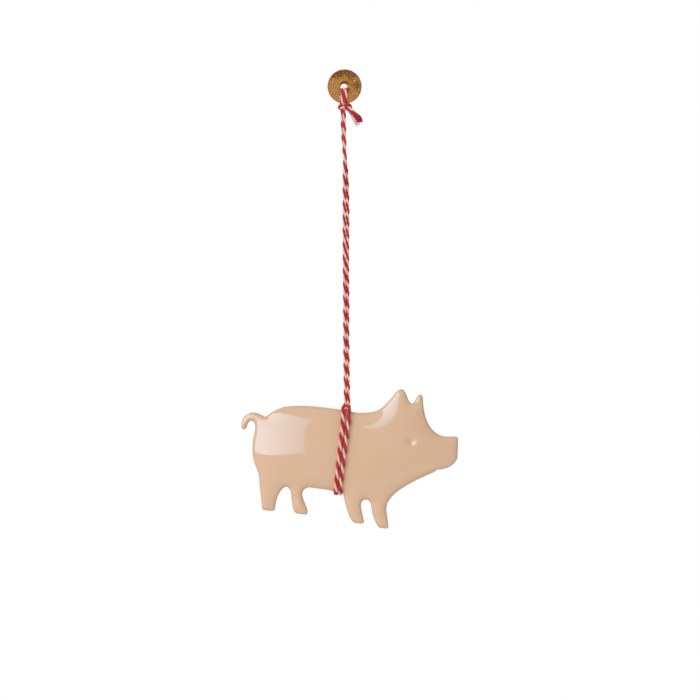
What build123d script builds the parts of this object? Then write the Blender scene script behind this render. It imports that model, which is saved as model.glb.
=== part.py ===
from build123d import *
import math
import os

os.makedirs("parts", exist_ok=True)

# A hanging ornament: a pressed tin pig in two halves, slung from a brass disc by
# one doubled length of two-colour twine that grips it round the belly.
# Origin: the centre of the disc's hole. +X to the snout, +Z up, the front looks to -Y.
# All sizes are millimetres, angles are degrees.

# Pig
pig_length = 70.7
pig_height = 45.5
pig_thickness = 7.4
rim_thickness = 2.2
tin_wall = 0.7
rim_rounding = 0.35
foot_rounding = 0.7
eye_radius = 2.4
eye_depth = 0.45
eye_rounding = 0.5

# How the pig hangs: nose down by this angle, its back this far under the hole
hang_tilt = 8.5
back_drop = 104.5
side_shift = 0.7

# Disc, its hole punched a little to one side
disc_diameter = 11.0
disc_thickness = 0.9
disc_bevel = 0.2
hole_diameter = 3.2
hole_rounding = 0.25
hole_offset = 0.25

# Twine
strand_diameter = 1.0
ply_diameter = 0.6
knot_width = 2.8
knot_height = 1.8
knot_drop = 6.7
knot_shift = -0.7
pair_radius = 0.58
least_self_gap = 0.4

# A cord's bend takes this share of the shorter run beside it
bend_share = 0.45

# The standing pair turns slowly about its own axis: drop under the hole, and turn in degrees.
# The pair leaves the knot at its top drop and reaches the pig at its last.
upper_stations = [(7.95, -48), (13.0, -58), (19.0, -82), (24.0, -115), (32.0, -150), (42.0, -160), (54.9, -162)]
lower_stations = [(55.1, -162), (68.0, -160), (82.0, -162), (94.0, -170), (102.4, -178)]
pair_top_shift = -0.69
pair_foot_shift = 0.58

# Routes of the twine, points in millimetres chosen along the photographed line
eye_left_route = [
    (-1.20, 0.30, -6.60), (-1.15, 1.08, -5.75), (-0.68, 1.05, -0.80),
    (-0.68, -1.05, -0.80), (-1.15, -1.08, -5.75), (-1.20, -0.30, -6.60),
]
eye_right_route = [
    (-0.14, 0.30, -6.60), (-0.10, 1.08, -5.75), (0.38, 1.05, -0.92),
    (0.38, -1.05, -0.92), (-0.10, -1.08, -5.75), (-0.14, -0.30, -6.60),
]
red_end_route = [
    (0.15, -0.35, -6.95), (1.10, -0.35, -7.50), (2.20, -0.40, -8.60), (3.90, -0.30, -9.20),
    (5.00, -0.10, -10.20), (4.90, 0.00, -11.10), (4.30, 0.10, -11.70),
]
cream_end_route = [
    (0.15, 0.35, -6.95), (1.10, 0.35, -7.60), (2.00, 0.35, -8.90), (3.00, 0.20, -10.70), (4.30, 0.10, -12.55),
]
# The hitch: over the back, down the far side, under the belly, up the front, across
# the standing pair as the bight, and back the same way beside itself.
hitch_route = [
    (-0.14, 0.00, -102.80), (-0.14, 0.25, -103.22), (-0.18, 1.42, -103.70), (-0.25, 2.50, -105.50),
    (-0.60, 3.75, -109.50), (-1.10, 4.40, -114.00), (-1.60, 4.45, -119.00), (-2.15, 3.95, -124.00),
    (-2.65, 2.90, -128.40), (-2.95, 1.45, -131.75), (-2.98, -1.45, -131.75), (-2.90, -2.90, -128.40),
    (-2.50, -3.95, -124.00), (-2.05, -4.45, -119.00), (-1.55, -4.40, -114.00), (-1.10, -3.75, -109.50),
    (-0.95, -2.75, -106.30), (-1.05, -1.95, -104.30), (-0.35, -1.50, -103.15), (1.30, -1.50, -103.10),
    (2.15, -2.00, -104.90), (1.55, -2.80, -107.00), (1.00, -3.75, -109.80), (0.45, -4.40, -114.00),
    (-0.15, -4.45, -119.00), (-0.80, -3.95, -124.00), (-1.25, -2.90, -128.40), (-1.45, -1.45, -131.95),
    (-1.42, 1.45, -131.95), (-1.15, 2.90, -128.40), (-0.65, 3.95, -124.00), (-0.10, 4.45, -119.00),
    (0.42, 4.40, -114.00), (0.88, 3.75, -109.50), (1.20, 2.50, -105.60), (1.28, 1.42, -103.80),
    (1.30, 0.25, -103.25), (1.30, 0.00, -102.80),
]

# Outline of the pig, level on its feet, as shares of its length and height.
# Each list is one smooth stretch between two corners, and the feet and snout are straight.
back_and_ears_shares = [
    (0.104, 0.662), (0.130, 0.702), (0.175, 0.748), (0.225, 0.769), (0.282, 0.783), (0.341, 0.789),
    (0.399, 0.792), (0.443, 0.792), (0.496, 0.788), (0.539, 0.793), (0.580, 0.808), (0.610, 0.832),
    (0.641, 0.883), (0.664, 0.937), (0.687, 0.989), (0.700, 1.000), (0.713, 0.989), (0.729, 0.953),
    (0.745, 0.916), (0.755, 0.908), (0.764, 0.923), (0.776, 0.963), (0.780, 0.976), (0.789, 0.982),
    (0.797, 0.976), (0.801, 0.963), (0.808, 0.915), (0.825, 0.834), (0.850, 0.771), (0.882, 0.730),
    (0.914, 0.715), (0.950, 0.717), (0.987, 0.728),
]
chin_and_jaw_shares = [
    (0.999, 0.570), (0.988, 0.535), (0.966, 0.500), (0.944, 0.483), (0.922, 0.468), (0.883, 0.430),
    (0.836, 0.383), (0.784, 0.322), (0.745, 0.266), (0.721, 0.212), (0.711, 0.157), (0.718, 0.105),
    (0.728, 0.052), (0.736, 0.003),
]
front_legs_gap_shares = [
    (0.693, 0.001), (0.681, 0.017), (0.661, 0.064), (0.643, 0.136), (0.634, 0.172), (0.616, 0.186),
    (0.600, 0.175), (0.594, 0.150), (0.601, 0.107), (0.612, 0.062), (0.624, 0.013),
]
third_leg_back_shares = [(0.576, 0.010), (0.562, 0.026), (0.542, 0.071), (0.520, 0.146), (0.505, 0.206)]
belly_shares = [(0.505, 0.206), (0.462, 0.211), (0.396, 0.213), (0.345, 0.211)]
second_leg_front_shares = [(0.345, 0.211), (0.322, 0.167), (0.341, 0.096), (0.360, 0.017)]
hind_legs_gap_shares = [
    (0.308, 0.015), (0.295, 0.032), (0.287, 0.062), (0.275, 0.123), (0.262, 0.178), (0.246, 0.193),
    (0.231, 0.176), (0.215, 0.126), (0.209, 0.066), (0.211, 0.009),
]
rump_and_tail_shares = [
    (0.152, 0.003), (0.143, 0.058), (0.134, 0.113), (0.121, 0.190), (0.108, 0.262), (0.083, 0.331),
    (0.067, 0.417), (0.063, 0.496), (0.065, 0.565), (0.059, 0.604), (0.046, 0.619), (0.033, 0.608),
    (0.0275, 0.580), (0.023, 0.556), (0.014, 0.548), (0.0055, 0.554), (0.002, 0.572), (0.001, 0.603),
    (0.012, 0.648), (0.040, 0.679), (0.073, 0.677), (0.104, 0.662),
]

# Where the twine crosses the back, and the eye, as shares of the same sizes
sling_shares = (0.470, 0.7915)
eye_shares = (0.783, 0.638)

# Swells of the pressed sides: centre and half size, as shares of length and height
torso_swell_shares = (0.380, 0.500, 0.340, 0.315)
head_swell_shares = (0.770, 0.590, 0.235, 0.340)
torso_power = 3.0
head_power = 2.4
head_swell_share = 0.86
edge_power = 2.0

# The hollow's edge, a closed loop of shares that stands in from the outline
hollow_shares = [
    (0.130, 0.610), (0.108, 0.470), (0.150, 0.320), (0.250, 0.268), (0.420, 0.275), (0.560, 0.268),
    (0.670, 0.300), (0.780, 0.420), (0.880, 0.560), (0.840, 0.670), (0.770, 0.760), (0.690, 0.790),
    (0.600, 0.740), (0.470, 0.722), (0.300, 0.715), (0.190, 0.685),
]

# Steps of the grid through which the pressed surface passes, and how closely and simply it does
surface_steps = 14
surface_margin = 3.0
surface_fit = 0.02
surface_degrees = (3, 5)

# Samples along the hitch for its gap, and the share of its length that counts as beside itself
gap_samples = 400
self_gap_share = 0.1

# The pig's own level frame: its X runs to the snout, its Y up, its Z out of the front
lean = math.radians(hang_tilt)
along_pig = Vector(math.cos(lean), 0, -math.sin(lean))
up_pig = Vector(math.sin(lean), 0, math.cos(lean))
back_point = Vector(side_shift, 0, -back_drop)
pig_corner = (
    back_point - along_pig * (sling_shares[0] * pig_length) - up_pig * (sling_shares[1] * pig_height)
)
pig_plane = Plane(origin=pig_corner, x_dir=along_pig, z_dir=(0, -1, 0))


def placed(shares):
    """Points of the pig's outline in millimetres, from shares of its length and height."""
    return [(u * pig_length, v * pig_height) for u, v in shares]


def swell(u, v, shares, power):
    """A smooth pillow over one part of the side, 1 at its centre and 0 at its edge."""
    across = abs((u - shares[0]) / shares[2]) ** power
    upward = abs((v - shares[1]) / shares[3]) ** power
    return max(0.0, 1 - across) ** edge_power * max(0.0, 1 - upward) ** edge_power


def side_height(x, y):
    """How far the pressed side stands out from the seam at a point of the pig's own frame."""
    u = x / pig_length
    v = y / pig_height
    torso = swell(u, v, torso_swell_shares, torso_power)
    head = head_swell_share * swell(u, v, head_swell_shares, head_power)
    rise = (pig_thickness - rim_thickness) / 2
    return rim_thickness / 2 + rise * (1 - (1 - torso) * (1 - head))


def side_surface(inset):
    """The pressed side as one face, moved in towards the seam by inset."""
    rows = []
    for i in range(surface_steps + 1):
        y = -surface_margin + (pig_height + 2 * surface_margin) * i / surface_steps
        row = []
        for j in range(surface_steps + 1):
            x = -surface_margin + (pig_length + 2 * surface_margin) * j / surface_steps
            row.append((x, y, side_height(x, y) - inset))
        rows.append(row)
    lowest, highest = surface_degrees
    face = Face.make_surface_from_array_of_points(rows, tol=surface_fit, min_deg=lowest, max_deg=highest)
    return pig_plane.from_local_coords(face)


def under_side(inset):
    """Everything on the seam's side of the pressed surface, as a block that reaches past the seam."""
    return Solid.extrude(side_surface(inset), pig_plane.z_dir * -(2 * pig_thickness))


# The side at full size shapes the outside, and moved in by the wall it shapes the hollow
outer_block = under_side(0)
inner_block = under_side(tin_wall)

# The hollow of one half
with BuildPart() as hollow:
    with BuildSketch(pig_plane):
        with BuildLine():
            Spline(*placed(hollow_shares), periodic=True)
        make_face()
    extrude(amount=pig_thickness)
    add(inner_block, mode=Mode.INTERSECT)


def stands_out(face):
    """True for a face that lies out beyond the rim on the front."""
    return face.center().Y < -rim_thickness / 2 - rim_rounding


# The eye is a ball pressed into the side to its depth
eye_x, eye_y = placed([eye_shares])[0]
eye_height = side_height(eye_x, eye_y) + eye_radius - eye_depth

# Front half of the pig: outline, pressed side, rounded rim, hollow and eye
with BuildPart() as pig_front_shell:
    with BuildSketch(pig_plane) as pig_outline:
        with BuildLine():
            Spline(*placed(back_and_ears_shares))
            Line(placed(back_and_ears_shares)[-1], placed(chin_and_jaw_shares)[0])
            Spline(*placed(chin_and_jaw_shares))
            Line(placed(chin_and_jaw_shares)[-1], placed(front_legs_gap_shares)[0])
            Spline(*placed(front_legs_gap_shares))
            Line(placed(front_legs_gap_shares)[-1], placed(third_leg_back_shares)[0])
            Spline(*placed(third_leg_back_shares))
            Spline(*placed(belly_shares))
            Spline(*placed(second_leg_front_shares))
            Line(placed(second_leg_front_shares)[-1], placed(hind_legs_gap_shares)[0])
            Spline(*placed(hind_legs_gap_shares))
            Line(placed(hind_legs_gap_shares)[-1], placed(rump_and_tail_shares)[0])
            Spline(*placed(rump_and_tail_shares))
        make_face()
        fillet(pig_outline.vertices(), radius=foot_rounding)
    extrude(amount=pig_thickness)
    add(outer_block, mode=Mode.INTERSECT)
    side_edges = pig_front_shell.faces().filter_by(stands_out).sort_by(SortBy.AREA)[-1].outer_wire().edges()
    fillet(side_edges, radius=rim_rounding)
    with Locations(pig_plane.from_local_coords(Vector(eye_x, eye_y, eye_height))):
        Sphere(eye_radius, mode=Mode.SUBTRACT)
    eye_rim = pig_front_shell.faces().filter_by(GeomType.SPHERE)[0].edges()
    fillet(eye_rim, radius=eye_rounding)
    add(hollow.part, mode=Mode.SUBTRACT)
pig_front_shell.part.label = "pig_front_shell"
export_step(pig_front_shell.part, "parts/pig_front_shell.step")

# Back half: the same pressing, mirrored across the seam
with BuildPart() as pig_back_shell:
    mirror(pig_front_shell.part, about=Plane.XZ)
pig_back_shell.part.label = "pig_back_shell"
export_step(pig_back_shell.part, "parts/pig_back_shell.step")

# Disc: stamped brass, its hole's edge rolled and its outer edge broken by a bevel
with BuildPart() as brass_disc:
    with BuildSketch(Plane.XZ.offset(-disc_thickness / 2)):
        with Locations((-hole_offset, 0)):
            Circle(disc_diameter / 2)
        Circle(hole_diameter / 2, mode=Mode.SUBTRACT)
    extrude(amount=disc_thickness)
    fillet(brass_disc.edges().filter_by(GeomType.CIRCLE).sort_by(SortBy.RADIUS)[:2], radius=hole_rounding)
    chamfer(brass_disc.edges().filter_by(GeomType.CIRCLE).sort_by(SortBy.RADIUS)[-2:], length=disc_bevel)
brass_disc.part.label = "brass_disc"
export_step(brass_disc.part, "parts/brass_disc.step")

# Knot: the round body of the tied twine, drawn against the disc's lower rim
with BuildPart() as twine_knot:
    with BuildSketch(Plane(origin=(knot_shift, 0, -knot_drop), x_dir=(1, 0, 0), z_dir=(0, -1, 0))):
        with BuildLine():
            ThreePointArc((0, -knot_height / 2), (knot_width / 2, 0), (0, knot_height / 2))
            Line((0, knot_height / 2), (0, -knot_height / 2))
        make_face()
    revolve(axis=Axis((knot_shift, 0, -knot_drop), (0, 0, 1)))
twine_knot.part.label = "twine_knot"
export_step(twine_knot.part, "parts/twine_knot.step")


def bend_radii(points):
    """The radius of each bend of a cord: as large as the two runs beside it allow."""
    spots = [Vector(*point) for point in points]
    radii = []
    for before, here, after in zip(spots, spots[1:], spots[2:]):
        half_turn = math.radians((here - before).get_angle(after - here)) / 2
        shorter = min((here - before).length, (after - here).length)
        radii.append(bend_share * shorter / math.tan(half_turn))
    return radii


def lay_twine(name, points, diameter):
    """One stretch of twine: a round tube along its route, with its bends and length printed."""
    radii = bend_radii(points)
    with BuildPart() as laid:
        with BuildLine():
            route = FilletPolyline(*points, radius=radii)
        with BuildSketch(Plane(origin=route @ 0, z_dir=route % 0)):
            Circle(diameter / 2)
        sweep(path=route)
    section = math.pi * diameter**2 / 4
    print(name, "length", round(route.length, 2), "radii", [round(radius, 2) for radius in radii])
    print(name, "volume", round(laid.part.volume, 3), "section by length", round(section * route.length, 3))
    laid.part.label = name
    export_step(laid.part, "parts/" + name + ".step")
    return route


def pair_route(stations, half_turn):
    """Points of one strand of the standing pair, from its drops and turns about the pair's axis."""
    top = upper_stations[0][0]
    foot = lower_stations[-1][0]
    points = []
    for drop, turn in stations:
        shift = pair_top_shift + (pair_foot_shift - pair_top_shift) * (drop - top) / (foot - top)
        angle = math.radians(turn + half_turn)
        points.append((shift + pair_radius * math.cos(angle), pair_radius * math.sin(angle), -drop))
    return points


# Twine through the disc's hole, and its two frayed plies below the knot
lay_twine("twine_eye_left", eye_left_route, strand_diameter)
lay_twine("twine_eye_right", eye_right_route, strand_diameter)
lay_twine("twine_end_red", red_end_route, ply_diameter)
lay_twine("twine_end_cream", cream_end_route, ply_diameter)

# Standing pair, in two stretches that can turn against each other
for level, stations in (("upper", upper_stations), ("lower", lower_stations)):
    lay_twine("standing_left_" + level, pair_route(stations, 0), strand_diameter)
    lay_twine("standing_right_" + level, pair_route(stations, 180), strand_diameter)

# The hitch round the pig, and the least gap between its two turns
hitch_line = lay_twine("girth_hitch", hitch_route, strand_diameter)
hitch_marks = [hitch_line @ (k / gap_samples) for k in range(gap_samples + 1)]
apart = int(gap_samples * self_gap_share)
gaps = [
    (hitch_marks[i] - hitch_marks[j]).length - strand_diameter
    for i in range(len(hitch_marks))
    for j in range(i + apart, len(hitch_marks))
]
print("hitch least gap to itself", round(min(gaps), 3), "wanted over", least_self_gap)
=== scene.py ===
import logging
import math
from dataclasses import dataclass, field
from enum import Enum
from typing import Any, Callable

import bmesh
import bpy
import numpy as np
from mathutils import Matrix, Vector, geometry, noise


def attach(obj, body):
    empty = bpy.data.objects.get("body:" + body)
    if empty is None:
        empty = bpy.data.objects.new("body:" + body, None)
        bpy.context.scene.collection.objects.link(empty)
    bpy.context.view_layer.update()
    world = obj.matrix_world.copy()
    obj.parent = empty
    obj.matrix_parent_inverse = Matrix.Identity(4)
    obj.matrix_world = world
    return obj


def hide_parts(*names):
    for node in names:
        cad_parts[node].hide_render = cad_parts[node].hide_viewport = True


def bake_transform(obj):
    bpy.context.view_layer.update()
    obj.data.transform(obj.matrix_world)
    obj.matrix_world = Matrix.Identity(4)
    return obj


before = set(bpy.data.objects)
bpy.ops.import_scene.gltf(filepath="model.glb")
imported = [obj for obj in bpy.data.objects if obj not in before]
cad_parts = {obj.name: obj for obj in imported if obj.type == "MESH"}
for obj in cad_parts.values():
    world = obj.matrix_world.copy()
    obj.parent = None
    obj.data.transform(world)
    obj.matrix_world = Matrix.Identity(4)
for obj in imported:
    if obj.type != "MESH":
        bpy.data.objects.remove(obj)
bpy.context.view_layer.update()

# A hanging ornament: a puffed tin pig in thick beige enamel, slung from a brass disc by
# a doubled length of red and cream twine. Everything is in metres, in the frame of the CAD model:
# origin at the centre of the disc's hole, +X to the snout, +Z up, the front looks to -Y.

MM = 0.001
WHITE = (1.0, 1.0, 1.0, 1.0)
LOG = logging.getLogger("ornament")

Point = tuple[float, float, float]
Colour = tuple[float, float, float]
Socket = bpy.types.NodeSocket


class Body(str, Enum):
    """The bodies of the CAD model, from the held disc down to the pig."""

    DISC = "disc"
    EYE = "eye"
    CORD_UPPER = "cord_upper"
    CORD_LOWER = "cord_lower"
    PIG = "pig"


class MaterialSlot(str, Enum):
    """The record's material slots."""

    ENAMEL = "enamel"
    BRASS = "brass"
    TWINE = "twine"


class Twist(float, Enum):
    """The way the plies of a twine turn about each other."""

    S_LAID = -1.0
    Z_LAID = 1.0


def linear(colour: Colour) -> tuple[float, float, float, float]:
    """A colour as the shader wants it.

    Args:
        colour: Red, green and blue from 0 to 255, as a screen shows them.

    Returns:
        The same colour in linear light, with an alpha of 1.
    """
    parts = []
    for value in colour:
        share = value / 255
        parts.append(share / 12.92 if share <= 0.04045 else ((share + 0.055) / 1.055) ** 2.4)
    return (parts[0], parts[1], parts[2], 1.0)


def in_metres(points: list[Point]) -> list[Vector]:
    """Points of a route given in millimetres, as vectors in metres."""
    return [Vector(point) * MM for point in points]


def path_length(path: list[Vector]) -> float:
    """Length of the line through some points."""
    return sum((after - before).length for before, after in zip(path, path[1:]))


def placed(name: str, data: bpy.types.ID) -> bpy.types.Object:
    """A new object with this mesh, lamp or camera, in the scene."""
    thing = bpy.data.objects.new(name, data)
    bpy.context.scene.collection.objects.link(thing)
    return thing


def turn_outward(mesh: bpy.types.Mesh) -> None:
    """Makes the faces of a closed mesh point outwards, and shades it smooth."""
    shape = bmesh.new()
    shape.from_mesh(mesh)
    bmesh.ops.recalc_face_normals(shape, faces=shape.faces)
    shape.to_mesh(mesh)
    shape.free()
    mesh.shade_smooth()


class NodeBench:
    """A node tree with short ways to add nodes and join their sockets."""

    def __init__(self, tree: bpy.types.NodeTree) -> None:
        """Takes the tree that the nodes go into."""
        self.tree = tree

    def add(self, kind: str, feeds: dict[Any, Any] | None = None, **settings: Any) -> bpy.types.Node:
        """Adds one node.

        Args:
            kind: Blender's name of the node type.
            feeds: Input name or number, and the value or the socket that feeds it.
            **settings: Properties of the node itself.

        Returns:
            The new node.
        """
        node = self.tree.nodes.new(kind)
        for name, value in settings.items():
            setattr(node, name, value)
        for name, value in (feeds or {}).items():
            self.feed(node.inputs[name], value)
        return node

    def feed(self, socket: Socket, value: Any) -> None:
        """Joins an input to a socket, or sets it to a constant."""
        if isinstance(value, bpy.types.NodeSocket):
            self.tree.links.new(value, socket)
        else:
            socket.default_value = value

    def math(self, operation: str, first: Any, second: Any = 0.0, third: Any = 0.0) -> Socket:
        """One sum.

        Args:
            operation: The name of the Math node's operation.
            first: A socket or a number.
            second: A socket or a number.
            third: A socket or a number, for the operations that take three.

        Returns:
            The socket that holds the result.
        """
        node = self.add("ShaderNodeMath", {0: first, 1: second, 2: third}, operation=operation)
        return node.outputs[0]

    def vector(self, operation: str, first: Any, second: Any = None, scale: Any = None) -> Socket:
        """One sum on vectors.

        Args:
            operation: The name of the Vector Math node's operation.
            first: A socket or a vector.
            second: A socket or a vector, where the operation takes two.
            scale: A socket or a number, where the operation scales.

        Returns:
            The socket that holds the result.
        """
        node = self.add("ShaderNodeVectorMath", {0: first}, operation=operation)
        if second is not None:
            self.feed(node.inputs[1], second)
        if scale is not None:
            self.feed(node.inputs["Scale"], scale)
        return node.outputs["Vector"]

    def ramp(self, factor: Any, low: float, high: float, start: float = 0.0, end: float = 1.0) -> Socket:
        """A smooth step from one value to another.

        Args:
            factor: What drives the step.
            low: Where the step starts.
            high: Where the step ends.
            start: The value below low.
            end: The value above high.

        Returns:
            The socket that holds the stepped value.
        """
        feeds = {"Value": factor, "From Min": low, "From Max": high, "To Min": start, "To Max": end}
        node = self.add("ShaderNodeMapRange", feeds, interpolation_type="SMOOTHSTEP")
        return node.outputs["Result"]

    def mix(self, factor: Any, first: Any, second: Any) -> Socket:
        """A mix of two colours.

        Args:
            factor: How much of the second colour shows.
            first: A socket or a linear colour.
            second: A socket or a linear colour.

        Returns:
            The socket that holds the mixed colour.
        """
        node = self.add("ShaderNodeMix", {0: factor}, data_type="RGBA")
        self.feed(node.inputs[6], first)
        self.feed(node.inputs[7], second)
        return node.outputs[2]

    def choose(self, factor: Any, first: Any, second: Any) -> Socket:
        """A mix of two numbers, the first where the factor is 0."""
        return self.add("ShaderNodeMix", {0: factor, 2: first, 3: second}, data_type="FLOAT").outputs[0]

    def bumped(self, height: Socket, strength: float, distance: float) -> Socket:
        """The normal of a surface roughened by a pattern."""
        feeds = {"Height": height, "Strength": strength, "Distance": distance}
        return self.add("ShaderNodeBump", feeds).outputs["Normal"]

    def surface(self, feeds: dict[str, Any]) -> None:
        """Ends a material in a Principled shader with these inputs."""
        shader = self.add("ShaderNodeBsdfPrincipled", feeds)
        self.add("ShaderNodeOutputMaterial", {"Surface": shader.outputs["BSDF"]})

    def joined(self, *parts: Socket) -> Socket:
        """Several geometries as one, in the order given."""
        node = self.add("GeometryNodeJoinGeometry")
        for part in parts:
            self.tree.links.new(part, node.inputs[0])
        return node.outputs[0]

    def dressed(self, geometry: Socket, material: Socket) -> Socket:
        """Makes instances real, shades them smooth and gives them a material."""
        solid = self.add("GeometryNodeRealizeInstances", {"Geometry": geometry}).outputs[0]
        smooth = self.add("GeometryNodeSetShadeSmooth", {"Geometry": solid}).outputs[0]
        feeds = {"Geometry": smooth, "Material": material}
        return self.add("GeometryNodeSetMaterial", feeds).outputs["Geometry"]


def blank_material(name: str) -> tuple[bpy.types.Material, NodeBench]:
    """A new material with an empty node tree.

    Args:
        name: The material's name.

    Returns:
        The material, and the bench on its tree.
    """
    material = bpy.data.materials.new(name)
    material.use_nodes = True
    material.node_tree.nodes.clear()
    return material, NodeBench(material.node_tree)


def cloud(bench: NodeBench, place: Socket, scale: float, detail: float = 2.0, rough: float = 0.5) -> Socket:
    """A cloudy pattern.

    Args:
        bench: Where the node goes.
        place: The coordinate that the pattern follows.
        scale: Clouds to the metre, roughly.
        detail: How many finer layers it has.
        rough: How strong the finer layers are.

    Returns:
        The pattern's value, from 0 to 1.
    """
    feeds = {"Vector": place, "Scale": scale, "Detail": detail, "Roughness": rough}
    return bench.add("ShaderNodeTexNoise", feeds).outputs["Fac"]


@dataclass(frozen=True)
class EnamelFinish:
    """Thick glossy enamel, browner at the rim: partly thinner enamel where it runs off an edge, partly painted shade
    of the rounded rim.

    Attributes:
        name: The material's name.
        body: The enamel's colour on the flats.
        blush: The rosier colour that it drifts to in soft clouds.
        edge: The colour at the very rim: thinner enamel, deepened by painted shade of the rounded rim.
        edge_share: How much of that browner rim, painted shade included, shows at the outline.
        edge_width: How far in from the outline the browner rim and its painted shade reach.
        gloss: Roughness of the clear top coat.
        clouds: Rosier clouds to the metre.
        ripples: Waves of the fine orange peel to the metre.
        peel: Height of those waves.
        ior: How strongly the enamel and its top coat bend light.
    """

    name: str = "beige_enamel"
    body: Colour = (221, 184, 151)
    blush: Colour = (222, 182, 151)
    edge: Colour = (196, 158, 122)
    edge_share: float = 0.35
    edge_width: float = 0.9 * MM
    gloss: float = 0.045
    clouds: float = 55.0
    ripples: float = 620.0
    peel: float = 0.0012 * MM
    ior: float = 1.5

    def material(self) -> bpy.types.Material:
        """Builds the enamel's nodes."""
        made, bench = blank_material(self.name)
        place = bench.add("ShaderNodeTexCoord").outputs["Object"]
        drift = bench.ramp(cloud(bench, place, self.clouds), 0.4, 0.65)
        colour = bench.mix(drift, linear(self.body), linear(self.blush))
        depth = bench.add("ShaderNodeAttribute", attribute_name=PuffedPig.DEPTH_NAME).outputs["Fac"]
        # Browner rim near the outline: partly thinner enamel, partly painted shade of the rounded rim.
        thin_rim_and_shade = bench.ramp(depth, 0.0, self.edge_width, self.edge_share, 0.0)
        colour = bench.mix(thin_rim_and_shade, colour, linear(self.edge))
        rippled = bench.bumped(cloud(bench, place, self.ripples, 1.0), 1.0, self.peel)
        bench.surface({
            "Base Color": colour,
            "Roughness": 0.5,
            "IOR": self.ior,
            "Specular IOR Level": 0.0,
            "Coat Weight": 1.0,
            "Coat Roughness": self.gloss,
            "Coat IOR": self.ior,
            "Normal": rippled,
            "Coat Normal": rippled,
        })
        return made


@dataclass(frozen=True)
class BrassFinish:
    """Aged brass: golden brown with darker tarnish, rosy stains and bright worn grains, with painted shading over it:
    darker towards the top, lighter towards the bottom and the left.

    Attributes:
        name: The material's name.
        dark: The tarnished tone, which also serves as the painted shade towards the top.
        golden: The tone that most of it has.
        worn: The bright tone of rubbed metal.
        rosy: The tint of the stains.
        painted_shading: Axis, where a step of painted shading starts and ends along it, and the darkening it adds
            before and after (below 0 it lightens): darker at the top, lighter at the bottom and the left.
        clouds: Clouds of tarnish to the metre.
        stains: Stains to the metre.
        grains: Worn grains to the metre.
        roughness: Roughness of the golden and of the tarnished metal.
        relief: Height of the pitted surface.
    """

    name: str = "aged_brass"
    dark: Colour = (122, 70, 30)
    golden: Colour = (168, 107, 52)
    worn: Colour = (206, 156, 108)
    rosy: Colour = (150, 88, 62)
    painted_shading: tuple[tuple[str, float, float, float, float], ...] = (
        ("X", -3.5 * MM, 4.0 * MM, -0.1, 0.0),
        ("Z", 2.0 * MM, 5.2 * MM, 0.0, 0.5),
        ("Z", -5.6 * MM, -1.0 * MM, -0.25, 0.0),
    )
    clouds: float = 420.0
    stains: float = 260.0
    grains: float = 2600.0
    roughness: tuple[float, float] = (0.34, 0.55)
    relief: float = 0.02 * MM

    def material(self) -> bpy.types.Material:
        """Builds the brass's nodes."""
        made, bench = blank_material(self.name)
        place = bench.add("ShaderNodeTexCoord").outputs["Object"]
        parts = bench.add("ShaderNodeSeparateXYZ", {"Vector": place}).outputs
        # Painted shading: darker towards the disc's top, lighter towards its bottom and its left side.
        painted_shading_sum = 0.0
        for axis, low, high, before, after in self.painted_shading:
            painted_shading_sum = bench.math("ADD", painted_shading_sum, bench.ramp(parts[axis], low, high, before, after))
        # The tarnish mask carries both the real tarnish clouds and the painted shading.
        tarnish = bench.ramp(bench.math("ADD", cloud(bench, place, self.clouds, 4.0, 0.6), painted_shading_sum), 0.36, 0.68)
        colour = bench.mix(tarnish, linear(self.golden), linear(self.dark))
        stain = bench.ramp(cloud(bench, place, self.stains, 3.0), 0.5, 0.72)
        colour = bench.mix(stain, colour, linear(self.rosy))
        grain = cloud(bench, place, self.grains, 3.0, 0.65)
        colour = bench.mix(bench.ramp(grain, 0.56, 0.74), colour, linear(self.worn))
        bench.surface({
            "Base Color": colour,
            "Metallic": 1.0,
            "Roughness": bench.ramp(tarnish, 0.0, 1.0, *self.roughness),
            "Normal": bench.bumped(grain, 0.7, self.relief),
        })
        return made


AGED_BRASS = BrassFinish()
RUBBED_BRASS = BrassFinish(name="rubbed_brass", dark=(172, 112, 64), golden=(212, 154, 98), worn=(240, 200, 148))


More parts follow.
